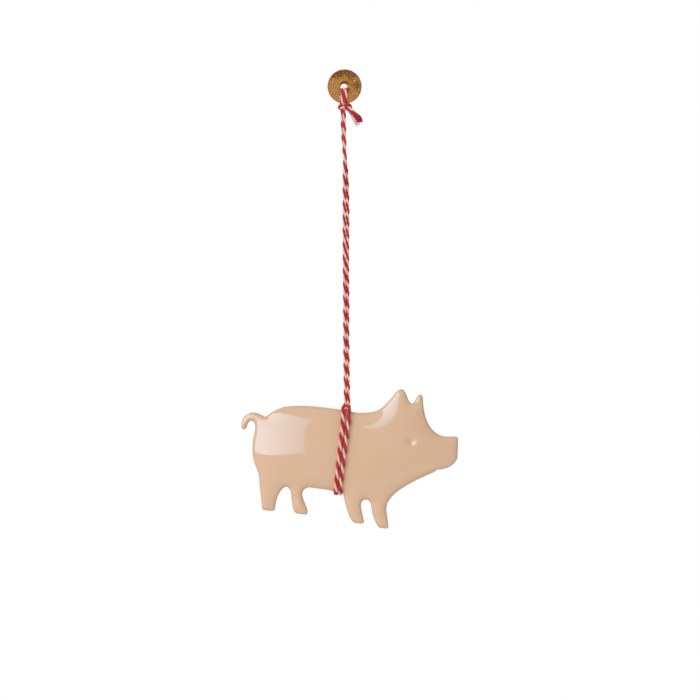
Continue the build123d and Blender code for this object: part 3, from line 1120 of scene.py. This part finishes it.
@dataclass
class HangingDisc:
    """The brass disc, the ring of plain ticks stamped on both its sides, and the burr in its hole.

    Attributes:
        centre: Centre of the disc's outline, beside the hole.
        thickness: The disc's thickness.
        ticks: How many ticks a ring has.
        ring_radius: Distance of a tick's middle from the centre.
        tick_length: Length of the longest tick.
        tick_width: Width of a tick.
        tick_height: How far a tick stands out.
        hole_radius: Radius of the hole.
        burr_centre: Middle of the burr's mouth, as (x, z).
        burr_radius: Radius of its mouth.
        burr_depth: How far behind the front the burr's mouth lies.
        burr_slope: How much deeper the burr meets the hole than its mouth.
        burr_sides: Points round the burr.
        burr_steps: Steps from the hole's edge to the mouth.
    """

    centre: Point = (-0.25 * MM, 0.0, 0.0)
    thickness: float = 0.9 * MM
    ticks: int = 25
    ring_radius: float = 3.8 * MM
    tick_length: float = 1.25 * MM
    tick_width: float = 0.44 * MM
    tick_height: float = 0.2 * MM
    hole_radius: float = 1.66 * MM
    burr_centre: tuple[float, float] = (-0.44 * MM, -0.26 * MM)
    burr_radius: float = 1.14 * MM
    burr_depth: float = 0.62 * MM
    burr_slope: float = 0.2 * MM
    burr_sides: int = 72
    burr_steps: int = 8

    def _tree(self) -> bpy.types.NodeTree:
        """The tree that sets the ticks round a ring."""
        inputs = {
            "Ticks": ("NodeSocketInt", self.ticks),
            "Ring Radius": ("NodeSocketFloat", self.ring_radius),
            "Tick Length": ("NodeSocketFloat", self.tick_length),
            "Tick Width": ("NodeSocketFloat", self.tick_width),
            "Tick Height": ("NodeSocketFloat", self.tick_height),
            "Seed": ("NodeSocketInt", 5),
            "Finish": ("NodeSocketMaterial", None),
        }
        bench, given, result = blank_tree("tick_ring", inputs)
        feeds = {"Resolution": given("Ticks"), "Radius": given("Ring Radius")}
        ring = bench.add("GeometryNodeCurvePrimitiveCircle", feeds).outputs["Curve"]
        feeds = {"Segments": 8, "Rings": 6, "Radius": 0.5}
        grain = bench.add("GeometryNodeMeshUVSphere", feeds).outputs["Mesh"]
        spot = bench.add("GeometryNodeInputPosition").outputs["Position"]
        turned = bench.add("FunctionNodeAlignRotationToVector", {"Vector": spot}, axis="X").outputs["Rotation"]
        length = bench.add("FunctionNodeRandomValue", {"Seed": given("Seed")}, data_type="FLOAT")
        bench.feed(length.inputs[2], 0.45)
        bench.feed(length.inputs[3], 1.0)
        long = bench.math("MULTIPLY", given("Tick Length"), length.outputs[1])
        feeds = {"X": long, "Y": given("Tick Width"), "Z": bench.math("MULTIPLY", given("Tick Height"), 2.0)}
        size = bench.add("ShaderNodeCombineXYZ", feeds).outputs[0]
        feeds = {"Points": ring, "Instance": grain, "Rotation": turned, "Scale": size}
        set_down = bench.add("GeometryNodeInstanceOnPoints", feeds).outputs["Instances"]
        bench.feed(result, bench.dressed(set_down, given("Finish")))
        return bench.tree

    def _burr(self, finish: bpy.types.Material) -> None:
        """Adds the lopsided burr that the punch left in the hole, thickest at the top right."""
        sides, steps = self.burr_sides, self.burr_steps
        vertices, faces = [], []
        for step in range(2 * steps):
            share = step / steps if step < steps else 2 - step / steps
            sweep = 0.5 - 0.5 * math.cos(math.pi * share)
            front, back = self.burr_depth * sweep, self.burr_depth + (1 - sweep) * self.burr_slope
            deep = -self.thickness / 2 + (front if step <= steps else back)
            for side in range(sides):
                turn = 2 * math.pi * side / sides
                wide = self.hole_radius + (self.burr_radius - self.hole_radius) * sweep
                x = self.burr_centre[0] * sweep + wide * math.cos(turn)
                z = self.burr_centre[1] * sweep + wide * math.sin(turn)
                vertices.append((x, deep, z))
        for step in range(2 * steps):
            after = (step + 1) % (2 * steps)
            for side in range(sides):
                onward = (side + 1) % sides
                near, far = step * sides, after * sides
                faces.append((near + side, near + onward, far + onward, far + side))
        mesh = bpy.data.meshes.new("hole_burr")
        mesh.from_pydata(vertices, [], faces)
        turn_outward(mesh)
        mesh.materials.append(finish)
        burr = placed("hole_burr", mesh)
        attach(burr, Body.DISC.value)
        LOG.info("hole_burr: %d faces", len(mesh.polygons))

    def build(self, finish: bpy.types.Material, rubbed: bpy.types.Material) -> None:
        """Dresses the disc, stamps its two rings of ticks and adds the burr.

        Args:
            finish: The aged brass.
            rubbed: The brighter brass where it is rubbed clean.
        """
        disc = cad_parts["brass_disc"]
        disc.data.materials.clear()
        disc.data.materials.append(finish)
        self._burr(finish)
        tree = self._tree()
        for side, facing in (("front", -1), ("back", 1)):
            name = f"{side}_ticks"
            seed = bpy.data.meshes.new(name)
            values = {"Finish": rubbed, "Seed": 5 + facing}
            ticks = grown(name, seed, tree, values)
            for vertex in ticks.data.vertices:
                x, y, z = vertex.co
                vertex.co = Vector((self.centre[0] + x, facing * self.thickness / 2 + z, self.centre[2] + y))
            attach(ticks, Body.DISC.value)
            LOG.info("%s: %d faces", name, len(ticks.data.polygons))


@dataclass
class TwineEye:
    """The twine through the disc's hole, its knot under the disc, and the frayed cut end.

    Attributes:
        shop: What lays the twine.
        fluff: The finish of the cream ply's opened fibres.
        radius: Radius of a strand here.
        lay: Length of one full turn of the plies.
        left_route: The left strand, round the disc's lower edge.
        right_route: The right strand.
        knot_centre: Centre of the knot.
        knot_width: Width of the knot's turns, from centre line to centre line.
        knot_depth: Depth of the turns from front to back.
        knot_height: Height that the turns take up.
        knot_turns: How often the twine goes round.
        knot_radius: Radius of the strand in the knot.
        tail_radius: Radius of the strand in the tail.
        starts: Turn of the plies at the start of the left strand, the right one, the knot and the tail.
        tail_route: The short twisted end that leaves the knot.
        red_route: The red ply of the cut end.
        cream_route: The cream ply of the cut end.
        threads: Threads in each opened ply.
        thread_radii: Radius of a red and of a cream thread.
        root_spread: How wide an opened ply is at its root.
        tip_spreads: How wide the red and the cream one are at their tips.
        wander: How far a thread sways.
        fluff_hairs: Loose fibres to the square millimetre of thread.
    """

    shop: TwineShop
    fluff: bpy.types.Material
    radius: float = 0.6 * MM
    lay: float = 4.6 * MM
    left_route: list[Point] = field(default_factory=lambda: [
        (-1.20, 0.30, -6.60), (-1.15, 1.08, -5.75), (-0.68, 1.05, -0.80),
        (-0.68, -1.05, -0.80), (-1.15, -1.08, -5.75), (-1.20, -0.30, -6.60),
    ])
    right_route: list[Point] = field(default_factory=lambda: [
        (-0.14, 0.30, -6.60), (-0.10, 1.08, -5.75), (0.38, 1.05, -0.92),
        (0.38, -1.05, -0.92), (-0.10, -1.08, -5.75), (-0.14, -0.30, -6.60),
    ])
    knot_centre: Point = (-0.7, 0.0, -6.7)
    knot_width: float = 2.0
    knot_depth: float = 1.9
    knot_height: float = 0.9
    knot_turns: float = 1.5
    knot_radius: float = 0.7 * MM
    tail_radius: float = 0.68 * MM
    starts: tuple[float, float, float, float] = (0.10, 0.55, 0.62, 0.10)
    tail_route: list[Point] = field(default_factory=lambda: [
        (-0.30, -1.00, -6.20), (0.70, -1.05, -6.05), (1.45, -0.85, -6.45), (1.70, -0.60, -7.30),
        (2.30, -0.40, -8.40),
    ])
    red_route: list[Point] = field(default_factory=lambda: [
        (0.80, -0.60, -7.00), (1.80, -0.50, -7.80), (2.90, -0.40, -8.90), (3.90, -0.30, -9.90),
        (4.50, -0.15, -10.70), (4.60, 0.00, -11.50),
    ])
    cream_route: list[Point] = field(default_factory=lambda: [
        (0.15, 0.35, -6.95), (1.10, 0.35, -7.60), (2.00, 0.35, -8.90), (3.00, 0.20, -10.70),
        (4.30, 0.10, -12.55),
    ])
    threads: int = 60
    thread_radii: tuple[float, float] = (0.13 * MM, 0.05 * MM)
    root_spread: float = 0.45 * MM
    tip_spreads: tuple[float, float] = (0.95 * MM, 0.8 * MM)
    wander: float = 0.35 * MM
    fluff_hairs: float = 40.0

    def _knot_route(self) -> list[Point]:
        """The turns of the knot, from behind round to the right."""
        points = []
        steps = int(self.knot_turns * 8)
        for step in range(steps + 1):
            turn = 2 * math.pi * (0.30 - step / 8)
            share = step / steps
            points.append((
                self.knot_centre[0] + self.knot_width / 2 * math.cos(turn),
                self.knot_centre[1] + self.knot_depth / 2 * math.sin(turn),
                self.knot_centre[2] + self.knot_height * (0.5 - share),
            ))
        return points

    def build(self) -> None:
        """Makes every stretch of the eye."""
        stretches = (
            ("eye_strand_left", self.left_route, self.radius, "twine_eye_left"),
            ("eye_strand_right", self.right_route, self.radius, "twine_eye_right"),
            ("tied_knot", self._knot_route(), self.knot_radius, "twine_knot"),
            ("knot_tail", self.tail_route, self.tail_radius, None),
        )
        for number, (name, route, radius, node) in enumerate(stretches):
            start, seed = self.starts[number], 20 + number
            piece, _ = self.shop.laid(name, in_metres(route), radius, self.lay, start, seed)
            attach(piece, Body.EYE.value)
            if node:
                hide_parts(node)
        frays = (
            ("frayed_red_end", self.red_route, self.shop.red, "twine_end_red"),
            ("frayed_cream_end", self.cream_route, self.fluff, "twine_end_cream"),
        )
        for number, (name, route, dye, node) in enumerate(frays):
            line = route_line(name, in_metres(route))
            values = {
                "Threads": self.threads,
                "Thread Radius": self.thread_radii[number],
                "Root Spread": self.root_spread,
                "Tip Spread": self.tip_spreads[number],
                "Wander": self.wander,
                "Hair Density": self.fluff_hairs / MM**2,
                "Seed": 40 + 10 * number,
                "Dye": dye,
            }
            piece = grown(name, line, self.shop.frayed_tree, values)
            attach(piece, Body.EYE.value)
            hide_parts(node)
            LOG.info("%s: %d faces", name, len(piece.data.polygons))


@dataclass
class StandingPair:
    """The two strands that carry the pig, turning slowly about each other.

    Attributes:
        shop: What lays the twine.
        radius: Radius of a strand here, where it is pulled thin.
        lay: Length of one full turn of the plies.
        starts: Turn of the plies at the top of the left and of the right strand.
        stations: Drop under the hole, turn of the pair in degrees, how far its axis bows to the right there, and
            the distance of a strand's centre from it.
        top_shift: Place of the pair's axis at the knot.
        foot_shift: Place of the pair's axis at the pig.
        tuck: How far each strand runs on into the knot and the bight.
        slack: For each strand, shares of its length between which its plies lose turns, and how many.
    """

    shop: TwineShop
    radius: float = 0.5 * MM
    lay: float = 4.35 * MM
    starts: tuple[float, float] = (0.21, 0.36)
    stations: list[tuple[float, float, float, float]] = field(default_factory=lambda: [
        (7.95, -48, 0.00, 0.45), (13.0, -54, 0.00, 0.46), (18.5, -66, 0.15, 0.47), (23.0, -92, 0.38, 0.48),
        (27.5, -128, 0.52, 0.53), (34.0, -152, 0.54, 0.57), (41.5, -160, 0.50, 0.57), (48.5, -162, 0.35, 0.53),
        (56.0, -162, 0.23, 0.50), (68.0, -160, 0.19, 0.49), (80.0, -162, 0.03, 0.46), (94.0, -170, -0.02, 0.46),
        (102.4, -178, 0.00, 0.45),
    ])
    top_shift: float = -0.69
    foot_shift: float = 0.58
    tuck: float = 0.6
    slack: tuple[tuple[float, float, float], ...] = ((0.0, 1.0, 0.0), (0.347, 0.66, -0.97))

    def _route(self, half_turn: float) -> list[Point]:
        """Control points of one strand.

        Args:
            half_turn: Degrees by which this strand follows the other.

        Returns:
            Points in millimetres, from the knot down to the pig.
        """
        top, foot = self.stations[0][0], self.stations[-1][0]
        first, last = (top - self.tuck, *self.stations[0][1:]), (foot + self.tuck, *self.stations[-1][1:])
        points = []
        for drop, turn, bow, apart in (first, *self.stations, last):
            shift = self.top_shift + (self.foot_shift - self.top_shift) * (drop - top) / (foot - top) + bow
            angle = math.radians(turn + half_turn)
            points.append((shift + apart * math.cos(angle), apart * math.sin(angle), -drop))
        return points

    def build(self) -> None:
        """Makes both strands."""
        for number, side in enumerate(("left", "right")):
            name = f"standing_strand_{side}"
            route = in_metres(self._route(180.0 * number))
            start, slack = self.starts[number], self.slack[number]
            piece, path = self.shop.laid(name, route, self.radius, self.lay, start, 60 + number, slack)
            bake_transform(piece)
            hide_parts(f"standing_{side}_upper", f"standing_{side}_lower")


@dataclass
class GirthHitch:
    """The two turns of twine round the pig, and the bight that holds them at its back.

    Attributes:
        shop: What lays the twine.
        radius: Radius of a strand here.
        lay: Length of one full turn of the plies.
        start: Turn of the plies at the start, as a share of a full one.
        slack: Shares of the length between which the plies lose turns, round the bight, and how many.
        seed: Seed of its loose fibres.
        drawn: How far each turn is drawn towards the other, in millimetres like the rest of the route.
        loose_height: Height above which the turns aren't drawn together.
        loose_reach: Height over which the drawing sets in.
        route: Over the back, down the far side, under the belly, up the front, across as the bight, and back.
    """

    shop: TwineShop
    radius: float = 0.66 * MM
    lay: float = 4.65 * MM
    start: float = 0.64
    slack: tuple[float, float, float] = (0.486, 0.538, 1.44)
    seed: int = 80
    drawn: float = 0.25
    loose_height: float = -102.5
    loose_reach: float = 2.0
    route: list[Point] = field(default_factory=lambda: [
        (-0.14, 0.00, -102.80), (-0.14, 0.25, -103.22), (-0.18, 1.42, -103.70), (-0.25, 2.50, -105.50),
        (-0.60, 3.75, -109.50), (-1.10, 4.40, -114.00), (-1.60, 4.45, -119.00), (-2.15, 3.95, -124.00),
        (-2.85, 2.90, -128.40), (-3.25, 1.40, -131.1), (-3.30, -1.40, -131.1), (-3.20, -2.90, -128.40),
        (-2.70, -3.95, -124.00), (-2.15, -4.45, -119.00), (-1.58, -4.40, -114.00), (-1.10, -3.75, -109.50),
        (-0.95, -2.75, -106.30), (-1.04, -1.98, -104.45), (-0.62, -1.56, -103.58), (0.10, -1.46, -103.16),
        (0.96, -1.50, -103.48), (1.64, -1.80, -104.55), (1.58, -2.42, -106.10), (0.96, -3.75, -109.80),
        (0.45, -4.40, -114.00), (-0.15, -4.45, -119.00), (-0.80, -3.95, -124.00), (-1.23, -2.90, -128.40),
        (-1.40, -1.40, -131.25), (-1.38, 1.40, -131.25), (-1.15, 2.90, -128.40), (-0.65, 3.95, -124.00),
        (-0.10, 4.45, -119.00), (0.42, 4.40, -114.00), (0.88, 3.75, -109.50), (1.20, 2.50, -105.60),
        (1.17, 1.42, -103.80), (1.05, 0.25, -103.25), (0.98, 0.00, -102.75),
    ])

    def _drawn_together(self) -> list[Point]:
        """The route with its two turns drawn against each other, as the soft twine lies."""
        points = []
        for number, (x, y, z) in enumerate(self.route):
            share = min(1.0, max(0.0, (self.loose_height - z) / self.loose_reach))
            towards = 1.0 if number < len(self.route) / 2 else -1.0
            points.append((x + towards * share * self.drawn, y, z))
        return points

    def build(self) -> None:
        """Makes the hitch."""
        route = in_metres(self._drawn_together())
        piece, path = self.shop.laid("girth_hitch_strand", route, self.radius, self.lay, self.start,
                                     self.seed, self.slack)
        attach(piece, Body.PIG.value)
        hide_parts("girth_hitch")
        LOG.info("girth_hitch_strand: %.1f mm long", path_length(path) / MM)


@dataclass
class Studio:
    """A pale floor far below the ornament, a softbox to the left of the camera, and weak fill.

    Attributes:
        aim: The point at the middle of the picture.
        distance: How far the camera stands.
        frame_width: Width of the picture at the ornament.
        lit: The point that the lamps and the cloth face, the pig's middle.
        fills: Name, degrees to the left and above, distance, size and brightness of each weak lamp.
        floor_drop: Height of the floor under the origin.
        floor_radius: Radius of the lit floor.
        floor_colour: The floor's paint.
        cloth_distance: How far away the softbox's cloth stands.
        cloth_low: Degrees above the pig of the cloth's lower edge, at the near and the far side.
        cloth_high: Degrees above the pig of its upper edge, at the near and the far side.
        cloth_near: Degrees to the left of the camera of its near edge, below and above.
        cloth_far: Degrees to the left of the camera of its far edge.
        cloth_tint: Linear colour of its light where it is mirrored.
        cloth_glow: Brightness at its near and far edge as enamel mirrors it, where 1 is white.
        cloth_fade: Share of its width over which it dims towards the near edge.
        cloth_curve: Power of that fade.
        cloth_mesh: Columns and rows of its mesh.
        cloth_spill: Share of that brightness that falls as soft light.
        room_glow: Brightness of the room for soft light.
        room_mirrored: Brightness of the room where it is mirrored, far left and far right.
    """

    aim: Point = (1.516 * MM, 0.0, -85.0 * MM)
    distance: float = 1.5
    frame_width: float = 225.8 * MM
    lit: Point = (0.0, 0.0, -118.0 * MM)
    fills: tuple[tuple[str, float, float, float, tuple[float, float], float], ...] = (
        ("right_fill", -62.0, 18.0, 2.3, (1.6, 1.6), 0.35),
        ("back_fill", 180.0, 35.0, 2.3, (1.8, 1.4), 2.0),
    )
    floor_drop: float = 0.235
    floor_radius: float = 0.3
    floor_colour: Colour = (236, 236, 235)
    cloth_distance: float = 2.3
    cloth_low: tuple[float, float] = (-5.2, -2.8)
    cloth_high: tuple[float, float] = (25.5, 58.0)
    cloth_near: tuple[float, float] = (4.4, 0.4)
    cloth_far: float = 60.0
    cloth_tint: tuple[float, float, float, float] = (0.52, 0.87, 1.1, 1.0)
    cloth_glow: tuple[float, float] = (2.7, 7.6)
    cloth_fade: float = 0.36
    cloth_curve: float = 0.7
    cloth_mesh: tuple[int, int] = (14, 10)
    cloth_spill: float = 0.38
    room_glow: float = 0.54
    room_mirrored: tuple[float, float] = (1.15, 0.35)

    def camera(self) -> None:
        """Sets up the long lens straight in front of the ornament."""
        data = bpy.data.cameras.new("long_lens")
        data.sensor_width = 36.0
        data.lens = data.sensor_width * self.distance / self.frame_width
        camera = placed("long_lens", data)
        camera.location = Vector(self.aim) + Vector((0.0, -self.distance, 0.0))
        camera.rotation_euler = (math.pi / 2, 0.0, 0.0)
        bpy.context.scene.camera = camera

    @staticmethod
    def _away(turn: float, rise: float) -> Vector:
        """The direction so many degrees to the left of the camera and above the ornament."""
        a, e = math.radians(turn), math.radians(rise)
        return Vector((-math.sin(a) * math.cos(e), -math.cos(a) * math.cos(e), math.sin(e)))

    def _lamp(self, name: str, turn: float, rise: float, distance: float,
              size: tuple[float, float], glow: float) -> None:
        """Adds one flat lamp that faces the ornament.

        Args:
            name: The lamp's name.
            turn: Degrees to the left of the camera.
            rise: Degrees above the ornament.
            distance: How far away it stands.
            size: Its width and height.
            glow: Brightness of its face, where 1 is white.
        """
        data = bpy.data.lights.new(name, "AREA")
        data.shape = "RECTANGLE"
        data.size, data.size_y = size
        data.energy = glow * math.pi * size[0] * size[1]
        lamp = placed(name, data)
        away = self._away(turn, rise)
        lamp.location = Vector(self.lit) + away * distance
        lamp.rotation_euler = (-away).to_track_quat("-Z", "Y").to_euler()

    def lamps(self) -> None:
        """Adds the weak fills."""
        for fill in self.fills:
            self._lamp(*fill)

    def softbox(self) -> None:
        """Adds the softbox as a glowing cloth, brighter towards the side away from the camera."""
        columns, rows = self.cloth_mesh
        vertices, shares = [], []
        for row in range(rows + 1):
            up = row / rows
            near = self.cloth_near[0] + (self.cloth_near[1] - self.cloth_near[0]) * up**3
            for column in range(columns + 1):
                share = column / columns
                low = self.cloth_low[0] + (self.cloth_low[1] - self.cloth_low[0]) * share
                high = self.cloth_high[0] + (self.cloth_high[1] - self.cloth_high[0]) * share
                away = self._away(near + (self.cloth_far - near) * share, low + (high - low) * up)
                vertices.append(Vector(self.lit) + away * self.cloth_distance)
                shares.append(share)
        step = columns + 1
        faces = [
            (row * step + column, row * step + column + 1, (row + 1) * step + column + 1, (row + 1) * step + column)
            for row in range(rows) for column in range(columns)
        ]
        mesh = bpy.data.meshes.new("softbox_cloth")
        mesh.from_pydata(vertices, [], faces)
        mark = mesh.attributes.new("cloth_share", "FLOAT", "POINT")
        mark.data.foreach_set("value", shares)
        made, bench = blank_material("softbox_glow")
        share = bench.add("ShaderNodeAttribute", attribute_name="cloth_share").outputs["Fac"]
        faded = bench.math("MINIMUM", bench.math("DIVIDE", share, self.cloth_fade), 1.0)
        rise = bench.math("POWER", faded, self.cloth_curve)
        near, far = self.cloth_glow
        glow = bench.math("MULTIPLY_ADD", rise, far - near, near)
        path = bench.add("ShaderNodeLightPath")
        mirrored = path.outputs["Is Glossy Ray"]
        spill = bench.ramp(mirrored, 0.0, 1.0, self.cloth_spill, 1.0)
        glow = bench.math("MULTIPLY", glow, spill)
        seen = bench.choose(path.outputs["Is Camera Ray"], glow, 1.0)
        tint = bench.mix(mirrored, WHITE, self.cloth_tint)
        shader = bench.add("ShaderNodeEmission", {"Color": tint, "Strength": seen})
        bench.add("ShaderNodeOutputMaterial", {"Surface": shader.outputs["Emission"]})
        mesh.materials.append(made)
        cloth = placed("softbox_cloth", mesh)

    def world(self) -> None:
        """Makes the room white where it is seen or mirrored, and dimmer where it only lights."""
        world = bpy.data.worlds.new("white_room")
        world.use_nodes = True
        world.node_tree.nodes.clear()
        bench = NodeBench(world.node_tree)
        path = bench.add("ShaderNodeLightPath")
        aim = bench.add("ShaderNodeTexCoord").outputs["Generated"]
        aside = bench.add("ShaderNodeSeparateXYZ", {"Vector": aim}).outputs["X"]
        left, right = self.room_mirrored
        mirrored = bench.ramp(aside, -0.6, 0.5, left, right)
        glow = bench.choose(path.outputs["Is Glossy Ray"], self.room_glow, mirrored)
        seen = bench.choose(path.outputs["Is Camera Ray"], glow, 1.0)
        shader = bench.add("ShaderNodeBackground", {"Color": WHITE, "Strength": seen})
        bench.add("ShaderNodeOutputWorld", {"Surface": shader.outputs["Background"]})
        bpy.context.scene.world = world

    def floor(self) -> None:
        """Adds the pale floor, which fades into the white room round its edge."""
        mesh = bpy.data.meshes.new("floor")
        shape = bmesh.new()
        bmesh.ops.create_circle(shape, cap_ends=True, radius=self.floor_radius, segments=96)
        bmesh.ops.translate(shape, verts=shape.verts, vec=(0.0, 0.0, -self.floor_drop))
        shape.to_mesh(mesh)
        shape.free()
        made, bench = blank_material("floor_paint")
        place = bench.add("ShaderNodeTexCoord").outputs["Object"]
        parts = bench.add("ShaderNodeSeparateXYZ", {"Vector": place})
        flat = bench.add("ShaderNodeCombineXYZ", {"X": parts.outputs["X"], "Y": parts.outputs["Y"]}).outputs[0]
        radius = bench.add("ShaderNodeVectorMath", {0: flat}, operation="LENGTH").outputs["Value"]
        fade = bench.ramp(radius, 0.25 * self.floor_radius, 0.95 * self.floor_radius)
        path = bench.add("ShaderNodeLightPath")
        seen = bench.math("MAXIMUM", path.outputs["Is Camera Ray"], path.outputs["Is Glossy Ray"])
        paint = bench.add("ShaderNodeBsdfDiffuse", {"Color": linear(self.floor_colour)})
        glow = bench.add("ShaderNodeEmission", {"Color": WHITE, "Strength": 1.0})
        share = bench.math("MULTIPLY", fade, seen)
        blend = bench.add("ShaderNodeMixShader", {0: share, 1: paint.outputs[0], 2: glow.outputs[0]})
        bench.add("ShaderNodeOutputMaterial", {"Surface": blend.outputs[0]})
        mesh.materials.append(made)
        floor = placed("floor", mesh)

    def build(self) -> None:
        """Sets up the whole studio."""
        self.camera()
        self.softbox()
        self.lamps()
        self.world()
        self.floor()
        bpy.context.scene.view_settings.view_transform = "Standard"


def main() -> None:
    """Builds the studio and every piece of the ornament."""
    logging.basicConfig(level=logging.INFO, format="%(message)s")
    Studio().build()
    HangingDisc().build(AGED_BRASS.material(), RUBBED_BRASS.material())
    PuffedPig().build(EnamelFinish().material())
    shop = TwineShop(red=RED_YARN.material(), cream=CREAM_YARN.material())
    TwineEye(shop, CREAM_FLUFF.material()).build()
    StandingPair(shop).build()
    GirthHitch(shop).build()


if __name__ == "__main__":
    main()
